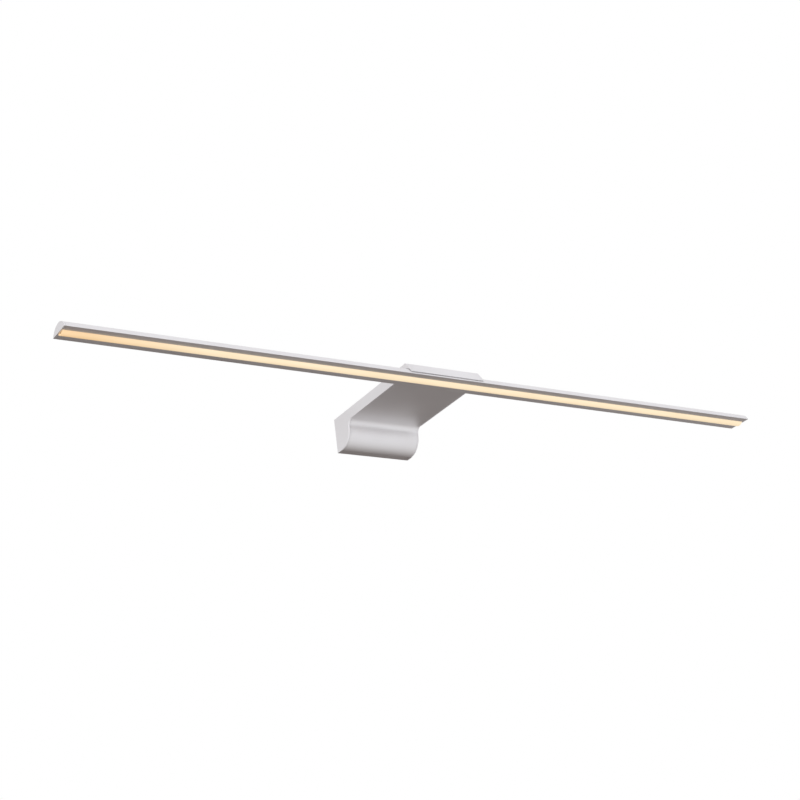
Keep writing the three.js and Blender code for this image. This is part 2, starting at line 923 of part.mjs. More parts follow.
function driverScrewHoles() {
  return driverScrewPlaces().map((place) =>
    rod(
      driverScrew.shaft + fit.slip,
      at(place.x, place.y, driverBottom - past),
      along.z,
      driver.top - driverBottom + 2 * past,
    ),
  );
}

function leadStart(side) {
  const x = driverX[1] - lead.fromCaseEnd + side * lead.spacing;
  return at(x, -lead.startDepth, driverBottom + lead.startAbove);
}

function driverCase() {
  const outside = box(driverX, driverY, [driverBottom, driverBaseTop]);
  const inside = box(
    [driverX[0] + driver.wall, driverX[1] - driver.wall],
    [driverY[0] + driver.wall, driverY[1] - driver.wall],
    [driverBottom + driver.wall, driverBaseTop + past],
  );
  const wires = mainsLead.z.map((z) =>
    rod(
      mainsLead.radius + fit.slip,
      at(driverX[1] - driver.wall - past, -mainsLead.depth, z),
      along.x,
      driver.wall + 2 * past,
    ),
  );
  return cut(outside, inside, ...wires, ...driverScrewHoles());
}

function driverLid() {
  const plate = box(driverX, driverY, [driver.top - driver.lid, driver.top]);
  const wires = [-1, 1].map((side) => {
    const start = leadStart(side);
    start.z = driver.top - driver.lid - past;
    return rod(lead.radius + fit.slip, start, along.z, driver.lid + 2 * past);
  });
  return cut(plate, ...wires, ...driverScrewHoles());
}

function driverBoard() {
  const inset = driver.wall + fit.slip;
  const x = [driverX[0] + inset, driverX[1] - inset];
  const y = [driverScrewY + circuit.fromScrews, driverY[1] - inset];
  const floor = driverBottom + driver.wall;
  const z = floor + circuit.above;
  const middle = z + circuit.thickness / 2;
  const board = box(x, y, [z, z + circuit.thickness]);
  const feet = circuit.footShares.map((share) => {
    const footX = x[0] + (x[1] - x[0]) * share;
    return box(
      [footX - circuit.footHalf, footX + circuit.footHalf],
      [y[0] + circuit.footInset, y[1] - circuit.footInset],
      [floor + fit.seam, middle],
    );
  });
  const { transformer, capacitor } = circuit;
  const core = box(
    [x[0] + transformer.x, x[0] + transformer.x + transformer.length],
    [y[0] + transformer.inset, y[1] - transformer.inset],
    [z, z + transformer.height],
  );
  const canAt = at(x[0] + capacitor.x, (y[0] + y[1]) / 2, middle);
  const can = rod(capacitor.radius, canAt, along.z, z + capacitor.height - middle);
  return join(board, ...feet, core, can);
}

function driverScrewSolid(index) {
  const place = driverScrewPlaces()[index];
  place.z = driverBottom - fit.hair;
  return panScrew(place, along.z, driverScrew, ceilingZ - driverScrew.belowCeiling - place.z);
}

// ---------------------------------------------------------------- leads

function mainsLeadSolid(index) {
  const from = driverX[1] - driver.wall - mainsLead.intoCase;
  const to = terminal.x + mainsLead.intoTerminal;
  const start = at(from, -mainsLead.depth, mainsLead.z[index]);
  return rod(mainsLead.radius, start, along.x, to - from);
}

// From the driver, along the inside of the arm and down through the joint to the LED strip.
// Out of the lid each lead leans across to its place over the notch, one step at a time.
const leadClimb = [
  { share: 0.93, forward: 1.6, below: 0.4 },
  { share: 0.6, forward: 8, below: 0 },
];
const leadRun = { start: 22, end: 20 }; // from the driver, and to the axis
const leadDrop = [
  { before: 3.2, below: 0 },
  { before: 0.9, below: 0.9 },
  { before: 0, below: 2.8 },
];

function lampLead(side) {
  const start = leadStart(side);
  const run = barZ + bar.height + lead.aboveBar;
  const x = side * lead.spacing;
  const climb = leadClimb.map((step) =>
    at(start.x * step.share, start.y - step.forward, run - step.below),
  );
  const drop = leadDrop.map((step) => at(x, pivot.y + step.before, run - step.below));
  return roundTube(
    [
      start,
      at(start.x, start.y, driver.top + fit.slip),
      ...climb,
      at(x, start.y - leadRun.start, run),
      at(x, pivot.y + leadRun.end, run),
      ...drop,
      at(x, pivot.y, floorZ + lead.end),
    ],
    lead.radius,
    44,
  );
}

// ---------------------------------------------------------------- materials

function finish(color, roughness, metalness) {
  return new THREE.MeshStandardMaterial({ color, roughness, metalness });
}

const satinMetal = finish(0xd2d0d1, 0.38, 0.9);
const opal = finish(0xfbe3b6, 0.45, 0);
opal.emissive = new THREE.Color(0xfbd79a);
const steel = finish(0xb9bcc0, 0.35, 1);
const blackOxide = finish(0x3a3c40, 0.5, 0.8);
const springSteel = finish(0x8d9196, 0.35, 1);
const boardWhite = finish(0xeef0ec, 0.5, 0);
const boardGreen = finish(0x2e6b46, 0.5, 0);
const nylon = finish(0xe6e4dc, 0.6, 0);
const saddlePlastic = finish(0x2c2d30, 0.55, 0);
const rubber = finish(0x262628, 0.8, 0);
const brass = finish(0xc8a450, 0.35, 1);
const redSleeve = finish(0xb02a26, 0.5, 0);
const blackSleeve = finish(0x1f1f22, 0.5, 0);
const brownSleeve = finish(0x6b4028, 0.5, 0);
const blueSleeve = finish(0x2a55a8, 0.5, 0);

// ---------------------------------------------------------------- assembly

const lamp = new THREE.Group();
const tiltingBar = new THREE.Group();
lamp.add(tiltingBar);

function addPiece(name, solid, material, group = lamp) {
  const mesh = new THREE.Mesh(geometryFrom(solid), material);
  mesh.name = name;
  group.add(mesh);
}

addPiece("bar_profile", barProfile(), satinMetal, tiltingBar);
addPiece("diffuser", diffuser(), opal, tiltingBar);
addPiece("led_strip", ledStrip(), boardWhite, tiltingBar);
addPiece("arm_top", armTop(), satinMetal);
addPiece("arm_lower", armLower(), satinMetal);
addPiece("swivel_saddle", swivelSaddle(), saddlePlastic);
addPiece("clamp_plate", clampPlate(), springSteel);
addPiece("wall_bracket", wallBracket(), steel);
addPiece("cable_grommet", cableGrommet(), rubber);
addPiece("earth_screw", earthScrewSolid(), brass);
addPiece("earth_washer", earthWasherSolid(), brass);
addPiece("terminal_block", terminalBlock(), nylon);
addPiece("driver_case", driverCase(), nylon);
addPiece("driver_lid", driverLid(), nylon);
addPiece("driver_board", driverBoard(), boardGreen);

for (const [side, word] of [
  [-1, "left"],
  [1, "right"],
]) {
  addPiece(`end_cap_${word}`, endCap(side), satinMetal, tiltingBar);
  addPiece(`side_plate_${word}`, sidePlate(side), satinMetal);
  addPiece(`swivel_screw_${word}`, swivelScrewSolid(side), blackOxide);
  addPiece(`spring_washer_${word}`, springWasherSolid(side), springSteel);
  addPiece(`saddle_screw_${word}`, saddleScrewSolid(side), steel);
  addPiece(`locking_screw_${word}`, lockScrewSolid(side), blackOxide);
}

["live", "neutral", "earth"].forEach((pole, index) => {
  addPiece(`terminal_screw_${pole}`, terminalScrewSolid(index), brass);
});
["inner", "outer"].forEach((place, index) => {
  addPiece(`driver_screw_${place}`, driverScrewSolid(index), steel);
});
addPiece("mains_lead_neutral", mainsLeadSolid(0), blueSleeve);
addPiece("mains_lead_live", mainsLeadSolid(1), brownSleeve);
addPiece("lamp_lead_negative", lampLead(-1), blackSleeve);
addPiece("lamp_lead_positive", lampLead(1), redSleeve);

export default lamp;
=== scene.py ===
"""Slim wall-mounted LED light bar for a mirror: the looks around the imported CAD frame, in metres."""

import json
import math

import bmesh
import bpy
from mathutils import Matrix, Vector


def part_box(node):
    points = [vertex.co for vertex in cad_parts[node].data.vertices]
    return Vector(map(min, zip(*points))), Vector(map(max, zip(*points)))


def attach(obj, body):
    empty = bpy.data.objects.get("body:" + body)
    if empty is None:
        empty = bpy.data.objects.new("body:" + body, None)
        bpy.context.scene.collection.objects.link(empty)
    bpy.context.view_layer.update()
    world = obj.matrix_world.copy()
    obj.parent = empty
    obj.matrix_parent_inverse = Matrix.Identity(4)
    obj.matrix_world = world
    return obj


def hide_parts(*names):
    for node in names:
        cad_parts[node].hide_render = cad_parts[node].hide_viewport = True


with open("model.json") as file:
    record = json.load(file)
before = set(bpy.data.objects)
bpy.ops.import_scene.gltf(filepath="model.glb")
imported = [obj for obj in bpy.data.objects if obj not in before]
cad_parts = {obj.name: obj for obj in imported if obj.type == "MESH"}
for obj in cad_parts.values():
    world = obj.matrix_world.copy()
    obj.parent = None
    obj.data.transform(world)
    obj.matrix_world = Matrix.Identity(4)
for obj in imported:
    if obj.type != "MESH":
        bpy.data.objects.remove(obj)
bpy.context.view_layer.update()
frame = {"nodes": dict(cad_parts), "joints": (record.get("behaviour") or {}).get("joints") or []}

MM = 0.001

# ---------------------------------------------------------------- sizes, from the frame where it has them

PIVOT = Vector(frame["joints"][0]["pos_m"])
BAR_LOW, BAR_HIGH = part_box("bar_profile")
ARM_TOP_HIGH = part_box("arm_top")[1]
ARM_LOW, ARM_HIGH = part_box("arm_lower")
PLATE_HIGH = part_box("side_plate_right")[1]

BAR_FRONT, BAR_BACK, BAR_Z = BAR_LOW.y, BAR_HIGH.y, BAR_LOW.z
ARCH_RADIUS = BAR_HIGH.z - PIVOT.z
SLIP = 0.3 * MM
PAST = 1 * MM  # how far a cutting tool runs past the face it cuts
FINE_EDGE = 0.05 * MM
POCKET_RADIUS = ARCH_RADIUS + SLIP
TOP_Z, BOTTOM_Z, WALL_Y = ARM_TOP_HIGH.z, ARM_LOW.z, ARM_HIGH.y
ARM_HALF = PLATE_HIGH.x
SHELL_HALF = ARM_TOP_HIGH.x
BAR_BELOW_ARM = 2.6 * MM
UNDER_Z = BAR_Z + BAR_BELOW_ARM
WALL = 1.5 * MM
PLATE = 1.5 * MM
CEILING_Z = TOP_Z - WALL

BLOCK_DEPTH, BULGE, FILLET = 20.9 * MM, 14.4 * MM, 5 * MM
BAR_WALL, SHOULDER, WEB = 1.2 * MM, 1.8 * MM, 0.8 * MM
LENS_HALF, LENS_DROP, LENS_WALL = 4.3 * MM, 1.8 * MM, 0.9 * MM
GROOVE_DEPTH, GROOVE_LOW, GROOVE_HIGH = 0.8 * MM, 0.3 * MM, 1 * MM
NOSE_TOP_Y, NOSE_INNER_Y = BAR_FRONT + 7.9 * MM, BAR_FRONT + 8.1 * MM
NOSE_FOOT_Y, NOSE_LIP_Z, NOSE_LIP = BAR_FRONT + 5 * MM, BAR_Z + 1.8 * MM, 0.5 * MM
NOSE_LIP_PULL, NOSE_TOP_PULL = Vector((3.4, 4.8)) * MM, Vector((1.6, 0.2)) * MM
SWIVEL_X = sum(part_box("swivel_screw_right"), Vector()).x / 2
BAR_EDGE = 0.12 * MM
TILT = math.radians(frame["joints"][0]["range_deg"][1])

# ---------------------------------------------------------------- outlines in the YZ plane


def arc(centre, radius, start, end, steps=24):
    """Points of an arc, angles in degrees from +Y towards +Z."""
    points = []
    for i in range(steps + 1):
        angle = math.radians(start + (end - start) * i / steps)
        points.append((centre[0] + radius * math.cos(angle), centre[1] + radius * math.sin(angle)))
    return points


def on_circle(radius, z, side):
    """Point of the circle about the tilt axis at a height, on the wall side (+1) or the front (-1)."""
    return (PIVOT.y + side * math.sqrt(radius**2 - (z - PIVOT.z) ** 2), z)


def above_pivot(radius, y):
    return (y, PIVOT.z + math.sqrt(radius**2 - (y - PIVOT.y) ** 2))


def angle_of(point):
    return math.degrees(math.atan2(point[1] - PIVOT.z, point[0] - PIVOT.y))


def around_pivot(radius, start, end, steps=40):
    return arc((PIVOT.y, PIVOT.z), radius, angle_of(start), angle_of(end), steps)


def rounded(corners, steps=5):
    """Replaces each corner (y, z, radius) with a small arc; points without a radius stay."""
    points = []
    for i, corner in enumerate(corners):
        if len(corner) == 2 or corner[2] == 0:
            points.append((corner[0], corner[1]))
            continue
        here = Vector(corner[:2])
        before = (Vector(corners[i - 1][:2]) - here).normalized()
        after = (Vector(corners[(i + 1) % len(corners)][:2]) - here).normalized()
        half = before.angle(after) / 2
        reach = corner[2] / math.tan(half)
        centre = here + (before + after).normalized() * (corner[2] / math.sin(half))
        first, last = here + before * reach - centre, here + after * reach - centre
        turn = first.angle_signed(last)
        for k in range(steps + 1):
            angle = -turn * k / steps
            cos, sin = math.cos(angle), math.sin(angle)
            points.append(
                (centre.x + first.x * cos - first.y * sin, centre.y + first.x * sin + first.y * cos)
            )
    return points


LIP_INNER = on_circle(POCKET_RADIUS, NOSE_LIP_Z, -1)
LIP_ANGLE = math.radians(angle_of(LIP_INNER))
LIP_OUTER = (
    PIVOT.y + (POCKET_RADIUS + NOSE_LIP) * math.cos(LIP_ANGLE),
    PIVOT.z + (POCKET_RADIUS + NOSE_LIP) * math.sin(LIP_ANGLE),
)
MOUTH = on_circle(POCKET_RADIUS, UNDER_Z, 1)


def underside(thickness=0.0):
    """From the wall to the level arm: flat bottom, round front, fillet."""
    bulge_y, fillet_y = -(BLOCK_DEPTH - BULGE), -(BLOCK_DEPTH + FILLET)
    bulge = arc((bulge_y, BOTTOM_Z + BULGE), BULGE - thickness, -90, -180, 36)
    fillet = arc((fillet_y, UNDER_Z - FILLET), FILLET + thickness, 0, 90, 20)
    return bulge + fillet


def nose_front(steps=28):
    """From the lip on the bar up to the top face, a steep swelling curve."""
    a, d = Vector(LIP_OUTER), Vector((NOSE_TOP_Y, TOP_Z))
    b = a + NOSE_LIP_PULL
    c = d - NOSE_TOP_PULL
    points = []
    for i in range(steps + 1):
        t = i / steps
        p = a * (1 - t) ** 3 + b * 3 * t * (1 - t) ** 2 + c * 3 * t**2 * (1 - t) + d * t**3
        points.append((p.x, p.y))
    return points


# ---------------------------------------------------------------- mesh building


def finished(bm, name):
    """Turns a bmesh into an object with its faces pointing outwards."""
    bmesh.ops.recalc_face_normals(bm, faces=bm.faces)
    mesh = bpy.data.meshes.new(name)
    bm.to_mesh(mesh)
    bm.free()
    piece = bpy.data.objects.new(name, mesh)
    bpy.context.scene.collection.objects.link(piece)
    return piece


def shade(piece, smooth_angle=35):
    """Round faces are smooth, flat ones stay flat, and the edges between them stay sharp."""
    piece.data.shade_smooth()
    piece.data.set_sharp_from_angle(angle=math.radians(smooth_angle))
    weighted = piece.modifiers.new("flat_faces", "WEIGHTED_NORMAL")
    weighted.keep_sharp = True
    weighted.weight = 80


def signed_area(points):
    area = 0.0
    for (y0, z0), (y1, z1) in zip(points, points[1:] + points[:1]):
        area += y0 * z1 - y1 * z0
    return area / 2


def cleaned(points, least=2e-6):
    """Drops points that lie on their neighbour, and makes the outline run anticlockwise."""
    kept = []
    for point in points:
        if not kept or (Vector(point) - Vector(kept[-1])).length > least:
            kept.append(point)
    if (Vector(kept[0]) - Vector(kept[-1])).length <= least:
        kept.pop()
    return kept if signed_area(kept) > 0 else kept[::-1]


def inward_normals(points):
    """Mitred inward normal at each point of an anticlockwise outline."""
    normals = []
    count = len(points)
    for i, point in enumerate(points):
        here = Vector(point)
        back = (here - Vector(points[i - 1])).normalized()
        ahead = (Vector(points[(i + 1) % count]) - here).normalized()
        n0, n1 = Vector((-back.y, back.x)), Vector((-ahead.y, ahead.x))
        middle = (n0 + n1).normalized()
        normals.append(middle / max(0.5, middle.dot(n0)))
    return normals


def rounded_prism(name, outline, x0, x1, edge, stations=(), hollow=None, steps=4):
    """Extrudes an outline along X with its two end edges rounded.

    edge is (radius at x0, radius at x1), each a number or a function of the point. stations are further
    rings between the ends, and hollow is the outline of a duct that runs right through.
    """
    outline = cleaned(outline)
    normals = inward_normals(outline)
    bm = bmesh.new()

    def radius_at(which, point):
        return which(point) if callable(which) else which

    def ring(x, which, outward, turn):
        made = []
        for point, normal in zip(outline, normals):
            radius = radius_at(which, point)
            inset = radius * (1 - math.cos(turn))
            at_x = x - outward * radius * (1 - math.sin(turn))
            made.append(bm.verts.new((at_x, point[0] + normal.x * inset, point[1] + normal.y * inset)))
        return made

    quarter = math.pi / 2
    rings = [ring(x0, edge[0], -1, quarter * (1 - k / steps)) for k in range(steps + 1)]
    rings += [ring(x, 0.0, 1, quarter) for x in stations]
    rings += [ring(x1, edge[1], 1, quarter * k / steps) for k in range(steps + 1)]
    count = len(outline)
    for low, high in zip(rings, rings[1:]):
        for i in range(count):
            j = (i + 1) % count
            bm.faces.new((low[i], low[j], high[j], high[i]))
    if hollow:
        inner = cleaned(hollow)
        ends = []
        for x in (x0, x1):
            ends.append([bm.verts.new((x, y, z)) for y, z in inner])
        for i in range(len(inner)):
            j = (i + 1) % len(inner)
            bm.faces.new((ends[0][j], ends[0][i], ends[1][i], ends[1][j]))
        for outer, inside in ((rings[0], ends[0]), (rings[-1], ends[1])):
            edges = []
            for loop in (outer, inside):
                for i, vert in enumerate(loop):
                    edges.append(bm.edges.get((vert, loop[(i + 1) % len(loop)])))
            bmesh.ops.triangle_fill(bm, edges=edges, use_beauty=True)
    else:
        bm.faces.new(rings[0][::-1])
        bm.faces.new(rings[-1])
    return finished(bm, name)


def box_mesh(name, low, high, edge=0.0, segments=3):
    """A block between two corners with rounded edges."""
    bm = bmesh.new()
    bmesh.ops.create_cube(bm, size=1)
    size, middle = Vector(high) - Vector(low), (Vector(high) + Vector(low)) / 2
    for vert in bm.verts:
        vert.co = Vector([vert.co[i] * size[i] + middle[i] for i in range(3)])
    if edge:
        bmesh.ops.bevel(
            bm, geom=bm.edges[:], offset=edge, segments=segments, profile=0.5, affect="EDGES"
        )
    return finished(bm, name)


def turned_rings(bm, profile, origin, direction, segments):
    """Rings of vertices about a line, one for each (radius, height); a ring of no radius is one vertex."""
    axis = Vector(direction).normalized()
    across = axis.orthogonal().normalized()
    other = axis.cross(across)
    rings = []
    for radius, height in profile:
        centre = Vector(origin) + axis * height
        count = segments if radius > 1e-7 else 1
        made = []
        for k in range(count):
            angle = 2 * math.pi * k / count
            spoke = across * math.cos(angle) + other * math.sin(angle)
            made.append(bm.verts.new(centre + spoke * radius))
        rings.append(made)
    return rings


def lathe(name, profile, origin, direction, segments=48):
    """Turns a profile about a line; the profile closes on the line or on itself."""
    bm = bmesh.new()
    rings = turned_rings(bm, profile, origin, direction, segments)
    closed = len(rings[0]) > 1
    pairs = list(zip(rings, rings[1:] + rings[:1] if closed else rings[1:]))
    for low, high in pairs:
        for k in range(segments):
            j = (k + 1) % segments
            loop = [low[k % len(low)], low[j % len(low)], high[j % len(high)], high[k % len(high)]]
            unique = list(dict.fromkeys(loop))
            if len(unique) > 2:
                bm.faces.new(unique)
    return finished(bm, name)


def rod(name, radius, origin, direction, length, segments=32):
    """Round bar whose flat ends are single faces, so that a bore along it cuts them cleanly."""
    bm = bmesh.new()
    low, high = turned_rings(bm, [(radius, 0), (radius, length)], origin, direction, segments)
    for k in range(segments):
        j = (k + 1) % segments
        bm.faces.new((low[k], low[j], high[j], high[k]))
    bm.faces.new(low[::-1])
    bm.faces.new(high)
    return finished(bm, name)


def combine(piece, tools, operation):
    """Applies a boolean of the tools to a piece's mesh and removes the tools."""
    for tool in tools:
        change = piece.modifiers.new(operation.lower(), "BOOLEAN")
        change.operation = operation
        change.object = tool
        change.solver = "EXACT"
    graph = bpy.context.evaluated_depsgraph_get()
    mesh = bpy.data.meshes.new_from_object(piece.evaluated_get(graph))
    piece.modifiers.clear()
    piece.data = mesh
    for tool in tools:
        bpy.data.objects.remove(tool)
    return piece


def carve(piece, *tools):
    return combine(piece, tools, "DIFFERENCE")


def fuse(piece, *parts):
    return combine(piece, parts, "UNION")


# ---------------------------------------------------------------- materials


CLOUD = (18, 18, 18)
LENS_CLOUD, LENS_GRAIN = (30, 200, 200), (3000, 3000, 3000)
LENS_END = 0.12
GRAIN_HEIGHT = 0.02 * MM


def new_material(name):
    material = bpy.data.materials.new(name)
    material.use_nodes = True
    shader = material.node_tree.nodes["Principled BSDF"]
    return material, material.node_tree, shader


def stretched_noise(tree, scale, detail=4.0):
    """Noise in object space, drawn out by the three scales."""
    coordinates = tree.nodes.new("ShaderNodeTexCoord")
    mapping = tree.nodes.new("ShaderNodeMapping")
    mapping.inputs["Scale"].default_value = scale
    noise = tree.nodes.new("ShaderNodeTexNoise")
    noise.inputs["Scale"].default_value = 1.0
    noise.inputs["Detail"].default_value = detail
    tree.links.new(coordinates.outputs["Object"], mapping.inputs["Vector"])
    tree.links.new(mapping.outputs["Vector"], noise.inputs["Vector"])
    return noise


def ranged(tree, source, low, high):
    """Maps a 0.3 to 0.7 noise value onto a range."""
    node = tree.nodes.new("ShaderNodeMapRange")
    node.inputs["From Min"].default_value = 0.3
    node.inputs["From Max"].default_value = 0.7
    node.inputs["To Min"].default_value = low
    node.inputs["To Max"].default_value = high
    tree.links.new(source, node.inputs["Value"])
    return node.outputs["Result"]


def toned(tree, source, dark, light):
    """Blends two colours by a noise value."""
    ramp = tree.nodes.new("ShaderNodeValToRGB")
    ramp.color_ramp.elements[0].position = 0.35
    ramp.color_ramp.elements[0].color = (*dark, 1)
    ramp.color_ramp.elements[1].position = 0.65
    ramp.color_ramp.elements[1].color = (*light, 1)
    tree.links.new(source, ramp.inputs["Fac"])
    return ramp.outputs["Color"]


def bumped(tree, shader, source, strength, distance):
    bump = tree.nodes.new("ShaderNodeBump")
    bump.inputs["Strength"].default_value = strength
    bump.inputs["Distance"].default_value = distance
    tree.links.new(source, bump.inputs["Height"])
    tree.links.new(bump.outputs["Normal"], shader.inputs["Normal"])


def metal(name, dark, light, roughness, grain, bump=0.12, metallic=1.0):
    """Satin metal: fine grain drawn out along the brushing, with a faint cloud in its tone."""
    material, tree, shader = new_material(name)
    lines = stretched_noise(tree, grain, 3.0)
    cloud = stretched_noise(tree, CLOUD, 2.0)
    shader.inputs["Metallic"].default_value = metallic
    tree.links.new(toned(tree, cloud.outputs["Fac"], dark, light), shader.inputs["Base Color"])
    tree.links.new(ranged(tree, lines.outputs["Fac"], *roughness), shader.inputs["Roughness"])
    bumped(tree, shader, lines.outputs["Fac"], bump, GRAIN_HEIGHT)
    return material


def plastic(name, dark, light, roughness, grain=2600.0, bump=0.25):
    """Moulded plastic or rubber with a fine spark-eroded grain."""
    material, tree, shader = new_material(name)
    fine = stretched_noise(tree, (grain, grain, grain), 2.0)
    cloud = stretched_noise(tree, (60, 60, 60), 2.0)
    tree.links.new(toned(tree, cloud.outputs["Fac"], dark, light), shader.inputs["Base Color"])
    tree.links.new(ranged(tree, fine.outputs["Fac"], *roughness), shader.inputs["Roughness"])
    bumped(tree, shader, fine.outputs["Fac"], bump, 0.03 * MM)
    return material


def opal_lens(name):
    """Lit opal acrylic: warm, and deeper in tone towards the left end of the bar."""
    material, tree, shader = new_material(name)
    cloud = stretched_noise(tree, LENS_CLOUD, 2.0)
    place_x = tree.nodes.new("ShaderNodeSeparateXYZ")
    coordinates = tree.nodes.new("ShaderNodeTexCoord")
    tree.links.new(coordinates.outputs["Object"], place_x.inputs["Vector"])
    reach = tree.nodes.new("ShaderNodeMapRange")
    reach.interpolation_type = "SMOOTHSTEP"
    reach.inputs["From Min"].default_value = BAR_LOW.x
    reach.inputs["From Max"].default_value = BAR_LOW.x + LENS_END
    tree.links.new(place_x.outputs["X"], reach.inputs["Value"])
    deep = toned(tree, cloud.outputs["Fac"], (0.56, 0.35, 0.15), (0.60, 0.38, 0.18))
    pale = toned(tree, cloud.outputs["Fac"], (0.61, 0.49, 0.32), (0.65, 0.53, 0.36))
    blend = tree.nodes.new("ShaderNodeMix")
    blend.data_type = "RGBA"
    tree.links.new(reach.outputs["Result"], blend.inputs["Factor"])
    tree.links.new(deep, blend.inputs["A"])
    tree.links.new(pale, blend.inputs["B"])
    tree.links.new(blend.outputs["Result"], shader.inputs["Emission Color"])
    shader.inputs["Emission Strength"].default_value = 1.0
    shader.inputs["Base Color"].default_value = (0.5, 0.42, 0.3, 1)
    tree.links.new(ranged(tree, cloud.outputs["Fac"], 0.4, 0.5), shader.inputs["Roughness"])
    shader.inputs["Specular IOR Level"].default_value = 0.3
    fine = stretched_noise(tree, LENS_GRAIN, 2.0)
    bumped(tree, shader, fine.outputs["Fac"], 0.15, GRAIN_HEIGHT)
    return material


ALONG_X, ALONG_Y = (40, 5200, 5200), (5200, 40, 5200)
SATIN_DARK, SATIN_LIGHT = (0.80, 0.785, 0.79), (0.84, 0.83, 0.835)
SATIN_BAR = metal("satin_bar", SATIN_DARK, SATIN_LIGHT, (0.5, 0.6), ALONG_X, metallic=0.95)
SATIN_SIDE = metal("satin_side", SATIN_DARK, SATIN_LIGHT, (0.5, 0.6), ALONG_Y, metallic=0.85)
OPAL = opal_lens("opal_lens")
ZINC = metal("zinc_steel", (0.56, 0.57, 0.60), (0.66, 0.67, 0.69), (0.28, 0.42), (900, 900, 900), 0.3)
SPRING = metal("spring_steel", (0.42, 0.43, 0.45), (0.5, 0.51, 0.53), (0.25, 0.35), ALONG_X)
BLACK_STEEL = metal("black_steel", (0.045, 0.045, 0.05), (0.07, 0.07, 0.075), (0.4, 0.55), (2000,) * 3)
BRASS = metal("brass", (0.72, 0.53, 0.23), (0.8, 0.62, 0.3), (0.25, 0.38), (1500,) * 3)
SADDLE_PLASTIC = plastic("saddle_plastic", (0.03, 0.03, 0.033), (0.045, 0.045, 0.05), (0.5, 0.65))
RUBBER = plastic("grommet_rubber", (0.02, 0.02, 0.021), (0.032, 0.032, 0.034), (0.7, 0.85), 1500.0, 0.4)
NYLON = plastic("white_nylon", (0.78, 0.77, 0.72), (0.86, 0.85, 0.81), (0.45, 0.6))
LED_BOARD = plastic("led_board", (0.82, 0.82, 0.79), (0.9, 0.9, 0.87), (0.3, 0.42))
BOARD_GREEN = plastic("circuit_board", (0.03, 0.18, 0.075), (0.06, 0.26, 0.12), (0.3, 0.42))
BLUE = plastic("lead_blue", (0.03, 0.1, 0.42), (0.05, 0.15, 0.52), (0.4, 0.5))
BROWN = plastic("lead_brown", (0.15, 0.06, 0.03), (0.22, 0.09, 0.045), (0.4, 0.5))
BLACK = plastic("lead_black", (0.015, 0.015, 0.016), (0.025, 0.025, 0.027), (0.4, 0.5))
RED = plastic("lead_red", (0.45, 0.02, 0.02), (0.58, 0.035, 0.03), (0.4, 0.5))


def place(piece, body, slot, material, *nodes):
    """Gives a piece its material and its body, and hides the CAD nodes it stands for; the slot is not
    used.
    """
    shade(piece)
    piece.data.materials.clear()
    piece.data.materials.append(material)
    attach(piece, body)
    if nodes:
        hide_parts(*nodes)
    return piece


# ---------------------------------------------------------------- light bar

LEAD_HALF = 2.2 * MM


def sector_tool(inner, outer, half_angle, x0, x1):
    """Part of a ring about the tilt axis, spread evenly about the top."""
    middle = 90
    outline = arc((PIVOT.y, PIVOT.z), outer, middle - half_angle, middle + half_angle, 16)
    outline += arc((PIVOT.y, PIVOT.z), inner, middle + half_angle, middle - half_angle, 16)
    return rounded_prism("tool", outline, x0, x1, (0.0, 0.0), steps=1)


def arch_corners():
    """The arched back, with a softened corner where it meets the underside at the front and back."""
    right, left = on_circle(ARCH_RADIUS, BAR_Z, 1), on_circle(ARCH_RADIUS, BAR_Z, -1)
    arch = around_pivot(ARCH_RADIUS, right, left, 64)
    return [(*arch[0], BAR_EDGE)] + arch[1:-1] + [(*arch[-1], BAR_EDGE)]


def bar_section():
    """Arched back, two flat lips with softened edges, and the grooves that hold the lens."""
    corners = arch_corners()
    inner_edge = 0.1 * MM
    for side in (-1, 1):
        edge = PIVOT.y + side * LENS_HALF
        deep = edge + side * GROOVE_DEPTH
        half = [
            (edge, BAR_Z, inner_edge),
            (edge, BAR_Z + GROOVE_LOW),
            (deep, BAR_Z + GROOVE_LOW),
            (deep, BAR_Z + GROOVE_HIGH),
            (edge, BAR_Z + GROOVE_HIGH),
            (edge, BAR_Z + SHOULDER),
        ]
        corners += half if side < 0 else half[::-1]
    return rounded(corners)


def make_bar_profile():
    """Hollow extrusion with curved slots for the swivel screws and an opening for the leads."""
    web_top = BAR_Z + SHOULDER + WEB
    inner = ARCH_RADIUS - BAR_WALL
    duct = around_pivot(inner, on_circle(inner, web_top, 1), on_circle(inner, web_top, -1), 40)
    near_middle = 40 * MM
    piece = rounded_prism(
        "fine_bar_profile",
        bar_section(),
        BAR_LOW.x,
        BAR_HIGH.x,
        (FINE_EDGE, FINE_EDGE),
        stations=(-near_middle, near_middle),
        hollow=duct,
        steps=2,
    )
    slot_in, slot_out = inner - SLIP, ARCH_RADIUS + PAST
    screw_half = 1.55 * MM
    screw_angle = math.degrees(TILT + math.asin(screw_half / inner))
    tools = []
    for side in (-1, 1):
        x = side * SWIVEL_X
        tools.append(sector_tool(slot_in, slot_out, screw_angle, x - screw_half, x + screw_half))
    lead_angle = math.degrees(math.asin((LEAD_HALF + ARCH_RADIUS * math.sin(TILT)) / ARCH_RADIUS))
    tools.append(sector_tool(slot_in, slot_out, lead_angle, -LEAD_HALF, LEAD_HALF))
    lead_room, over = 1 * MM, 0.2 * MM
    web_half = lead_room + (web_top - PIVOT.z) * math.tan(TILT)
    tools.append(
        box_mesh(
            "tool",
            (-LEAD_HALF, PIVOT.y - web_half, web_top - WEB - over),
            (LEAD_HALF, PIVOT.y + web_half, web_top + over),
        )
    )
    carve(piece, *tools)
    place(piece, "light_bar", "satin_metal", SATIN_BAR, "bar_profile")


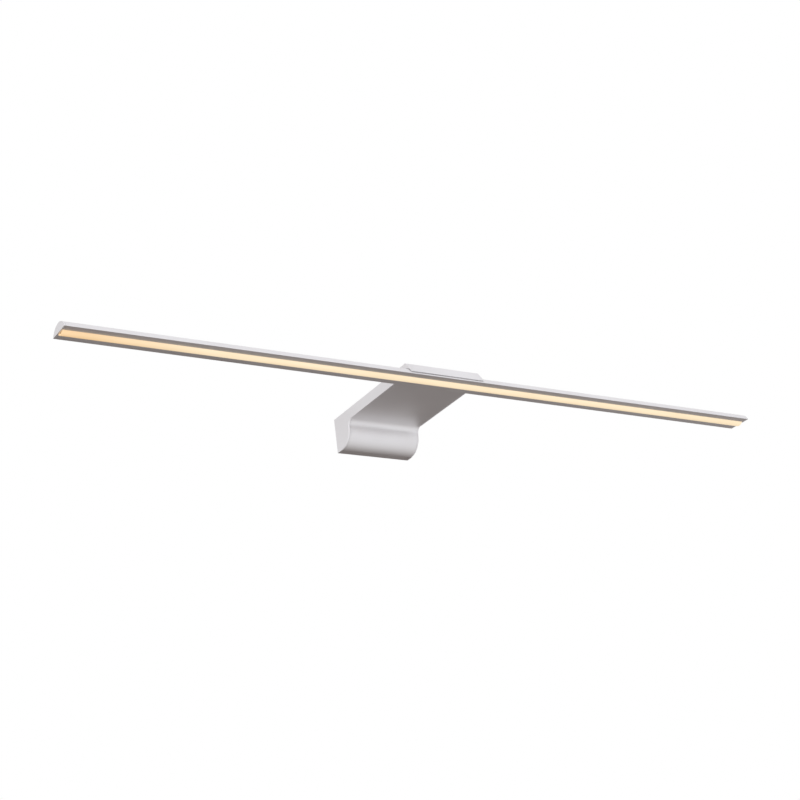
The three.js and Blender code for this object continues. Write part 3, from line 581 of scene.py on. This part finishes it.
def make_end_cap(word, side):
    """Flat cap with softened edges and a plug that fills the extrusion's duct; one mirrors the other."""
    low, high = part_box("end_cap_right")
    thickness, inner_edge, outer_edge, plug_edge = 1.2 * MM, 0.03 * MM, 0.07 * MM, 0.5 * MM
    plate_x = high.x - thickness
    outline = rounded(arch_corners())
    edge = (inner_edge, outer_edge)
    plate = rounded_prism(f"fine_end_cap_{word}", outline, plate_x, high.x, edge)
    radius, foot = ARCH_RADIUS - BAR_WALL - SLIP, BAR_Z + SHOULDER + WEB + SLIP
    plug = around_pivot(radius, on_circle(radius, foot, 1), on_circle(radius, foot, -1), 32)
    fuse(plate, rounded_prism("plug", plug, low.x, plate_x + SLIP, (plug_edge, 0.0)))
    if side < 0:
        plate.data.transform(Matrix.Diagonal((-1, 1, 1, 1)))
        plate.data.flip_normals()
    place(plate, "light_bar", "satin_metal", SATIN_SIDE, f"end_cap_{word}")


def make_diffuser():
    """Curved lens with a flat foot on each side that clips into the bar's grooves."""
    low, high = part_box("diffuser")
    gap, edge, foot_low, foot_high = 0.15 * MM, 0.08 * MM, BAR_Z + 0.45 * MM, BAR_Z + 0.85 * MM
    half = LENS_HALF - gap
    radius = (half**2 + LENS_DROP**2) / (2 * LENS_DROP)
    centre = (PIVOT.y, BAR_Z - LENS_DROP + radius)
    sweep = math.degrees(math.asin(half / radius))
    inner_half, inner_radius = half - LENS_WALL, radius - LENS_WALL
    inner_sweep = math.degrees(math.asin(inner_half / inner_radius))
    outline = [(low.y, foot_low), (PIVOT.y - half, foot_low)]
    outline += arc(centre, radius, -90 - sweep, -90 + sweep, 40)
    outline += [(PIVOT.y + half, foot_low), (high.y, foot_low), (high.y, foot_high)]
    outline += [(PIVOT.y + inner_half, foot_high)]
    outline += arc(centre, inner_radius, -90 + inner_sweep, -90 - inner_sweep, 24)
    outline += [(PIVOT.y - inner_half, foot_high), (low.y, foot_high)]
    piece = rounded_prism("fine_diffuser", outline, low.x, high.x, (edge, edge), steps=2)
    place(piece, "light_bar", "opal_lens", OPAL, "diffuser")


# ---------------------------------------------------------------- arm and block

RIM, FINE_RIM = 0.7 * MM, 0.15 * MM

# The side plates' pegs and the bosses that take them.
PEG_INSET = 1.7 * MM
PEG_RADIUS, PEG_LENGTH, PEG_BITE = 1.2 * MM, 5.4 * MM, 0.4 * MM
SOCKET_RADIUS, SOCKET_BORE, SOCKET_LENGTH = 2.2 * MM, 1.5 * MM, 7 * MM
TOP_PEGS = [
    (-(BLOCK_DEPTH + FILLET) * 1.8, CEILING_Z - PEG_INSET),
    (-BLOCK_DEPTH * 0.57, CEILING_Z - PEG_INSET),
]
LOWER_PEGS = [
    (-BLOCK_DEPTH * 0.37, BOTTOM_Z + WALL + PEG_INSET),
    (BAR_BACK * 0.8, UNDER_Z + WALL + PEG_INSET),
]

# Bosses under the arm's top: screw, the piece that the boss stands on, radius.
BOSSES = [
    ("saddle_screw_left", "swivel_saddle", 2.4 * MM),
    ("saddle_screw_right", "swivel_saddle", 2.4 * MM),
    ("driver_screw_inner", "driver_lid", 2.2 * MM),
    ("driver_screw_outer", "driver_lid", 2.2 * MM),
]
BOSS_BORE, BOSS_GAP, BOSS_BITE = 1.2 * MM, 0.1 * MM, 0.5 * MM
LOCK_HOLE = 1.7 * MM


def middle_of(node):
    low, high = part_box(node)
    return (low + high) / 2


def make_side_plate(word, side):
    """Side cover: the whole outline of the arm, with a soft outer edge."""
    outline = [(WALL_Y, BOTTOM_Z)] + underside() + [MOUTH]
    outline += around_pivot(POCKET_RADIUS, MOUTH, LIP_INNER, 40)
    outline += nose_front() + [(WALL_Y, TOP_Z)]

    def outer_edge(point):
        """A broad soft rim down the front of the block, a fine one everywhere else."""
        on_front = -(BLOCK_DEPTH + FILLET) < point[0] < -(BLOCK_DEPTH - BULGE) and point[1] < UNDER_Z
        return RIM if on_front else FINE_RIM

    outer, inner = ARM_HALF, ARM_HALF - PLATE
    x = (-outer, -inner) if side < 0 else (inner, outer)
    edge = (outer_edge, FINE_EDGE) if side < 0 else (FINE_EDGE, outer_edge)
    piece = rounded_prism(f"fine_side_plate_{word}", outline, *x, edge, steps=6)
    peg_start = -inner - PEG_BITE if side < 0 else inner + PEG_BITE - PEG_LENGTH
    pegs = []
    for y, z in TOP_PEGS + LOWER_PEGS:
        pegs.append(rod("peg", PEG_RADIUS, (peg_start, y, z), (1, 0, 0), PEG_LENGTH))
    fuse(piece, *pegs)
    place(piece, "wall_arm", "satin_metal", SATIN_SIDE, f"side_plate_{word}")


def peg_sockets(piece, places):
    """Bosses inside the shell with the round holes that the side plates' pegs go into."""
    half = SHELL_HALF - 0.1 * MM
    bosses, holes = [], []
    for y, z in places:
        for start in (-half, half - SOCKET_LENGTH):
            bosses.append(rod("boss", SOCKET_RADIUS, (start, y, z), (1, 0, 0), SOCKET_LENGTH))
        left = -SHELL_HALF - PAST
        holes.append(rod("hole", SOCKET_BORE, (left, y, z), (1, 0, 0), -2 * left))
    fuse(piece, *bosses)
    carve(piece, *holes)


def make_arm_lower():
    """J-shaped shell: bottom, round front, fillet and underside of the arm."""
    outline = [(WALL_Y, BOTTOM_Z)] + underside() + [MOUTH, on_circle(POCKET_RADIUS, UNDER_Z + WALL, 1)]
    outline += underside(WALL)[::-1] + [(WALL_Y, BOTTOM_Z + WALL)]
    edge = (FINE_EDGE, FINE_EDGE)
    piece = rounded_prism("fine_arm_lower", outline, -SHELL_HALF, SHELL_HALF, edge, steps=2)
    peg_sockets(piece, LOWER_PEGS)
    place(piece, "wall_arm", "satin_metal", SATIN_BAR, "arm_lower")


def make_arm_top():
    """Flat top and nose, with bosses for the screws below and holes for the locking screws."""
    foot = above_pivot(POCKET_RADIUS, NOSE_FOOT_Y)
    outline = [(WALL_Y, TOP_Z), (WALL_Y, CEILING_Z), (NOSE_INNER_Y, CEILING_Z), foot]
    outline += around_pivot(POCKET_RADIUS, foot, LIP_INNER, 16) + nose_front()
    edge = (FINE_EDGE, FINE_EDGE)
    piece = rounded_prism("fine_arm_top", outline, -SHELL_HALF, SHELL_HALF, edge, steps=2)
    bosses, holes = [], []
    for screw, seat, radius in BOSSES:
        x, y, _ = middle_of(screw)
        foot_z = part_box(seat)[1].z + BOSS_GAP
        height = CEILING_Z + BOSS_BITE - foot_z
        depth = CEILING_Z - 0.1 * MM - foot_z
        bosses.append(rod("boss", radius, (x, y, foot_z), (0, 0, 1), height))
        holes.append(rod("hole", BOSS_BORE, (x, y, foot_z - PAST), (0, 0, 1), depth + PAST))
    fuse(piece, *bosses)
    for word in ("left", "right"):
        x, y, _ = middle_of(f"locking_screw_{word}")
        start = (x, y, CEILING_Z - PAST)
        holes.append(rod("hole", LOCK_HOLE, start, (0, 0, 1), WALL + 2 * PAST))
    carve(piece, *holes)
    peg_sockets(piece, TOP_PEGS)
    place(piece, "wall_arm", "satin_metal", SATIN_BAR, "arm_top")


# ---------------------------------------------------------------- wall side

DRILL = 5 * MM
SHEET, SHEET_EDGE, FLANGE_GAP = 2 * MM, 0.25 * MM, 0.4 * MM
WALL_SLOT_X, WALL_SLOT_HALF = 24 * MM, 2 * MM
CABLE_HOLE, BRACKET_SCREW_HOLE = 6 * MM, 1.7 * MM
TERMINAL_PEG = (15 * MM, 0, 5.25 * MM)


def drill(centre, axis, radius, half_length=DRILL):
    """Round cutting tool through a point."""
    direction = Vector((axis == "X", axis == "Y", axis == "Z"))
    return rod("tool", radius, Vector(centre) - direction * half_length, direction, 2 * half_length, 48)


def wall_slot_tool(x):
    """Level slot with round ends, twice as long as it is high."""
    ends = []
    for shift in (-WALL_SLOT_HALF, WALL_SLOT_HALF):
        ends.append(drill((x + shift, 0, 0), "Y", WALL_SLOT_HALF))
    half = Vector((WALL_SLOT_HALF, DRILL, WALL_SLOT_HALF))
    middle = Vector((x, 0, 0))
    return fuse(fuse(*ends), box_mesh("tool", middle - half, middle + half))


def make_wall_bracket():
    """Bent steel plate: two screw slots, the cable hole and the holes for its screws."""
    low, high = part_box("wall_bracket")
    plate = box_mesh("fine_wall_bracket", (low.x, -SHEET, low.z), high, SHEET_EDGE)
    flange_low, flange_high = (low.x, low.y, high.z - SHEET), (high.x, -FLANGE_GAP, high.z)
    fuse(plate, box_mesh("flange", flange_low, flange_high, SHEET_EDGE))
    tools = []
    for word, side in (("left", -1), ("right", 1)):
        tools.append(wall_slot_tool(side * WALL_SLOT_X))
        lock = middle_of(f"locking_screw_{word}")
        tools.append(drill((lock.x, lock.y, high.z), "Z", LOCK_HOLE, 3 * MM))
    cable, earth = middle_of("cable_grommet"), middle_of("earth_screw")
    tools.append(drill((cable.x, 0, cable.z), "Y", CABLE_HOLE))
    tools.append(drill((earth.x, 0, earth.z), "Y", BRACKET_SCREW_HOLE))
    tools.append(drill(TERMINAL_PEG, "Y", BRACKET_SCREW_HOLE))
    carve(plate, *tools)
    place(plate, "wall_arm", "zinc_steel", ZINC, "wall_bracket")


def make_grommet():
    """Rubber ring: a round-edged flange inside the plate and a neck through it."""
    low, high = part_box("cable_grommet")
    centre = (low + high) / 2
    flange, bore, neck = 7 * MM, 4 * MM, 5.7 * MM
    thick, edge, soft = 1.2 * MM, 0.5 * MM, 0.2 * MM
    deep = high.y - low.y
    profile = [
        (bore, soft),
        (bore + soft, 0),
        (flange - edge, 0),
        (flange - edge * 0.3, edge * 0.3),
        (flange, edge),
        (flange, thick - soft),
        (flange - soft, thick),
        (neck, thick),
        (neck, deep - soft),
        (neck - soft, deep),
        (bore + soft, deep),
        (bore, deep - soft),
    ]
    piece = lathe("fine_cable_grommet", profile, (centre.x, low.y, centre.z), (0, 1, 0), 64)
    place(piece, "wall_arm", "grommet_rubber", RUBBER, "cable_grommet")


# ---------------------------------------------------------------- screws and washers

# Pan head, from the crown down: shares of the head's radius and height.
PAN_HEAD = [(0, 0), (0.55, 0), (0.82, 0.12), (0.96, 0.4), (1, 0.7)]
# The slot across it: half its length and half its width as shares of the head's radius, then its
# depth as a share of the head's height.
PAN_SLOT = (0.66, 0.14, 0.45)


def make_washer(node, axis, bore, slot, material):
    """Flat ring with softened edges."""
    low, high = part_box(node)
    direction = Vector((0, axis == "Y", axis == "Z"))
    deep = (high - low).dot(direction)
    start = (low + high) / 2 - direction * deep / 2
    outer = (high.x - low.x) / 2
    edge = deep * 0.3
    profile = [
        (bore, edge),
        (bore + edge, 0),
        (outer - edge, 0),
        (outer, edge),
        (outer, deep - edge),
        (outer - edge, deep),
        (bore + edge, deep),
        (bore, deep - edge),
    ]
    place(lathe(f"fine_{node}", profile, start, direction, 48), "wall_arm", slot, material, node)


def thread(start, end, pitch, root, crest):
    """Profile of the ridges between two heights, each crest half a pitch past its root."""
    profile = []
    for i in range(max(1, int((end - start) / pitch))):
        base = start + i * pitch
        profile += [(root, base), (crest, base + pitch / 2)]
    return profile


def make_pan_screw(node, direction, shaft, head_height, slot, material):
    """Pan-head screw with a domed head, a slot and a ridged thread, in the space of its CAD node."""
    low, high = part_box(node)
    direction = Vector(direction)
    length = abs((high - low).dot(direction))
    crown = (low + high) / 2 - direction * length / 2
    head = (high.x - low.x) / 2
    gap, tip, pitch = 0.1 * MM, 0.3 * MM, 0.45 * MM
    root, crest = shaft * 0.86, shaft * 0.99
    profile = [(head * r, head_height * h) for r, h in PAN_HEAD]
    profile += [(head, head_height - gap / 2), (shaft * 0.98, head_height)]
    profile += thread(head_height + gap, length - tip - gap, pitch, root, crest)
    profile += [(root, length - tip), (shaft / 2, length), (0, length)]
    screw = lathe(f"fine_{node}", profile, crown, direction, 32)
    reach, width, depth = PAN_SLOT
    across = Vector((head * reach, head * width, head * width))
    half = Vector([head_height * depth if direction[i] else across[i] for i in range(3)])
    carve(screw, box_mesh("tool", crown - half, crown + half))
    place(screw, "wall_arm", slot, material, node)


def make_locking_screw(node):
    """Grub screw with a hexagon socket and a chamfered rim."""
    low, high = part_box(node)
    centre, radius, length = (low + high) / 2, (high.x - low.x) / 2, high.z - low.z
    chamfer, point, pitch = 0.25 * MM, 0.3 * MM, 0.5 * MM
    hexagon, socket_depth = 0.85 * MM, 1.8 * MM
    crest = radius * 0.995
    thread_start = point + 0.1 * MM
    thread_end = length - 0.7 * MM
    profile = [(0, 0), (radius * 0.6, 0), (radius * 0.86, point)]
    profile += thread(thread_start, thread_end, pitch, radius * 0.87, crest)
    profile += [(crest, length - chamfer), (radius - chamfer, length), (0, length)]
    screw = lathe(f"fine_{node}", profile, (centre.x, centre.y, low.z), (0, 0, 1), 40)
    socket_foot = (centre.x, centre.y, high.z - socket_depth)
    carve(screw, rod("tool", hexagon, socket_foot, (0, 0, 1), socket_depth + PAST, 6))
    place(screw, "wall_arm", "black_steel", BLACK_STEEL, node)


# ---------------------------------------------------------------- inner pieces, from their CAD shapes

# CAD node, body, slot, material and the width of its softened edges.
SOFTENED = [
    ("swivel_saddle", "wall_arm", "saddle_plastic", SADDLE_PLASTIC, 0.25 * MM),
    ("clamp_plate", "wall_arm", "spring_steel", SPRING, 0.12 * MM),
    ("terminal_block", "wall_arm", "white_nylon", NYLON, 0.3 * MM),
    ("driver_case", "wall_arm", "white_nylon", NYLON, 0.3 * MM),
    ("driver_lid", "wall_arm", "white_nylon", NYLON, 0.3 * MM),
    ("driver_board", "wall_arm", "circuit_board", BOARD_GREEN, 0.1 * MM),
    ("mains_lead_live", "wall_arm", "lead_brown", BROWN, 0.08 * MM),
    ("mains_lead_neutral", "wall_arm", "lead_blue", BLUE, 0.08 * MM),
    ("lamp_lead_positive", "wall_arm", "lead_red", RED, 0.0),
    ("lamp_lead_negative", "wall_arm", "lead_black", BLACK, 0.0),
    ("led_strip", "light_bar", "led_board", LED_BOARD, 0.05 * MM),
]


def make_softened(node, body, slot, material, width):
    """The CAD node's shape with its flat faces merged and its hard edges bevelled."""
    source = frame["nodes"][node]
    bm = bmesh.new()
    bm.from_mesh(source.data)
    bmesh.ops.transform(bm, matrix=source.matrix_world, verts=bm.verts)
    bmesh.ops.remove_doubles(bm, verts=bm.verts, dist=1e-6)
    bmesh.ops.dissolve_limit(bm, angle_limit=math.radians(0.5), verts=bm.verts, edges=bm.edges)
    piece = finished(bm, f"fine_{node}")
    if width:
        bevel = piece.modifiers.new("soft_edges", "BEVEL")
        bevel.width = width
        bevel.segments = 2
        bevel.limit_method = "ANGLE"
        bevel.angle_limit = math.radians(50)
        bevel.use_clamp_overlap = True
    place(piece, body, slot, material, node)


# ---------------------------------------------------------------- camera, floor and light

CAMERA_PLACE = (-0.66802, -1.03772, -0.49138)
CAMERA_AZIMUTH, CAMERA_ELEVATION, CAMERA_ROLL = 34.035, 22.967, 7.54
CAMERA_LENS = 74.96


def make_camera():
    """Below the lamp and to its left, looking up and to the right, a little rolled."""
    data = bpy.data.cameras.new("camera")
    data.lens = CAMERA_LENS
    data.sensor_width = 36
    camera = bpy.data.objects.new("camera", data)
    turn = Matrix.Rotation(math.radians(-CAMERA_AZIMUTH), 4, "Z")
    tip = Matrix.Rotation(math.radians(90 + CAMERA_ELEVATION), 4, "X")
    roll = Matrix.Rotation(math.radians(-CAMERA_ROLL), 4, "Z")
    camera.matrix_world = Matrix.Translation(CAMERA_PLACE) @ turn @ tip @ roll
    bpy.context.scene.collection.objects.link(camera)
    bpy.context.scene.camera = camera


FLOOR_Z = -1.9
FLOOR_HALF = 30


def make_floor():
    """Plain pale floor, as far down as it is from a lamp over a mirror; the lamp doesn't mirror it."""
    bm = bmesh.new()
    corners = [(-1, -1), (1, -1), (1, 1), (-1, 1)]
    bm.faces.new([bm.verts.new((x * FLOOR_HALF, y * FLOOR_HALF, FLOOR_Z)) for x, y in corners])
    floor = finished(bm, "floor")
    floor.data.materials.append(plastic("floor_paint", (0.8, 0.8, 0.8), (0.82, 0.82, 0.82), (0.8, 0.9)))
    floor.visible_diffuse = False
    floor.visible_glossy = False


STUDIO_AXIS = Vector((-0.35, -0.85, 0.4)).normalized()
STUDIO_STOPS = [
    (0.0, (0.055, 0.034, 0.026)),
    (0.03, (0.115, 0.087, 0.076)),
    (0.10, (0.38, 0.35, 0.335)),
    (0.25, (0.78, 0.765, 0.765)),
    (0.40, (0.90, 0.895, 0.905)),
    (0.75, (1.0, 1.0, 1.03)),
]


def make_world():
    """White studio, seen as plain white: bright in front and above, dim low down towards the wall."""
    world = bpy.data.worlds.new("studio")
    bpy.context.scene.world = world
    world.use_nodes = True
    tree = world.node_tree
    light = tree.nodes["Background"]
    coordinates = tree.nodes.new("ShaderNodeTexCoord")
    along = tree.nodes.new("ShaderNodeVectorMath")
    along.operation = "DOT_PRODUCT"
    along.inputs[1].default_value = STUDIO_AXIS
    share = tree.nodes.new("ShaderNodeMapRange")
    share.inputs["From Min"].default_value = -1
    share.inputs["From Max"].default_value = 1
    ramp = tree.nodes.new("ShaderNodeValToRGB")
    stops = ramp.color_ramp.elements
    for position, _ in STUDIO_STOPS[2:]:
        stops.new(position)
    for stop, (position, colour) in zip(stops, STUDIO_STOPS):
        stop.position = position
        stop.color = (*colour, 1)
    tree.links.new(coordinates.outputs["Generated"], along.inputs[0])
    tree.links.new(along.outputs["Value"], share.inputs["Value"])
    tree.links.new(share.outputs["Result"], ramp.inputs["Fac"])
    tree.links.new(ramp.outputs["Color"], light.inputs["Color"])
    white = tree.nodes.new("ShaderNodeBackground")
    white.inputs["Color"].default_value = (1, 1, 1, 1)
    seen = tree.nodes.new("ShaderNodeLightPath")
    choice = tree.nodes.new("ShaderNodeMixShader")
    tree.links.new(seen.outputs["Is Camera Ray"], choice.inputs["Fac"])
    tree.links.new(light.outputs["Background"], choice.inputs[1])
    tree.links.new(white.outputs["Background"], choice.inputs[2])
    tree.links.new(choice.outputs["Shader"], tree.nodes["World Output"].inputs["Surface"])


def make_lamp(name, place_at, target, size, watts):
    """Round soft lamp at a place, turned to a target."""
    data = bpy.data.lights.new(name, "AREA")
    data.shape = "DISK"
    data.size = size
    data.energy = watts
    lamp = bpy.data.objects.new(name, data)
    lamp.location = place_at
    lamp.rotation_mode = "QUATERNION"
    lamp.rotation_quaternion = (Vector(target) - Vector(place_at)).to_track_quat("-Z", "Y")
    bpy.context.scene.collection.objects.link(lamp)


make_camera()
make_floor()
make_world()
make_lamp("soft_key", (-1.6, -2.2, 0.7), (0, -0.08, 0), 1.4, 14)
bpy.context.scene.view_settings.view_transform = "Standard"

make_bar_profile()
make_diffuser()
for word, side in (("left", -1), ("right", 1)):
    make_end_cap(word, side)
    make_side_plate(word, side)
make_arm_lower()
make_arm_top()

make_wall_bracket()
make_grommet()
make_washer("earth_washer", "Y", 1.7 * MM, "brass", BRASS)
make_pan_screw("earth_screw", (0, 1, 0), 1.5 * MM, 1.8 * MM, "brass", BRASS)
for word in ("left", "right"):
    make_locking_screw(f"locking_screw_{word}")
    make_washer(f"spring_washer_{word}", "Z", 1.4 * MM, "spring_steel", SPRING)
    make_pan_screw(f"swivel_screw_{word}", (0, 0, -1), 1.25 * MM, 0.9 * MM, "black_steel", BLACK_STEEL)
    make_pan_screw(f"saddle_screw_{word}", (0, 0, 1), 1 * MM, 1 * MM, "zinc_steel", ZINC)
for word in ("inner", "outer"):
    make_pan_screw(f"driver_screw_{word}", (0, 0, 1), 1 * MM, 1.1 * MM, "zinc_steel", ZINC)
for word in ("live", "neutral", "earth"):
    make_softened(f"terminal_screw_{word}", "wall_arm", "brass", BRASS, 0.1 * MM)
for row in SOFTENED:
    make_softened(*row)
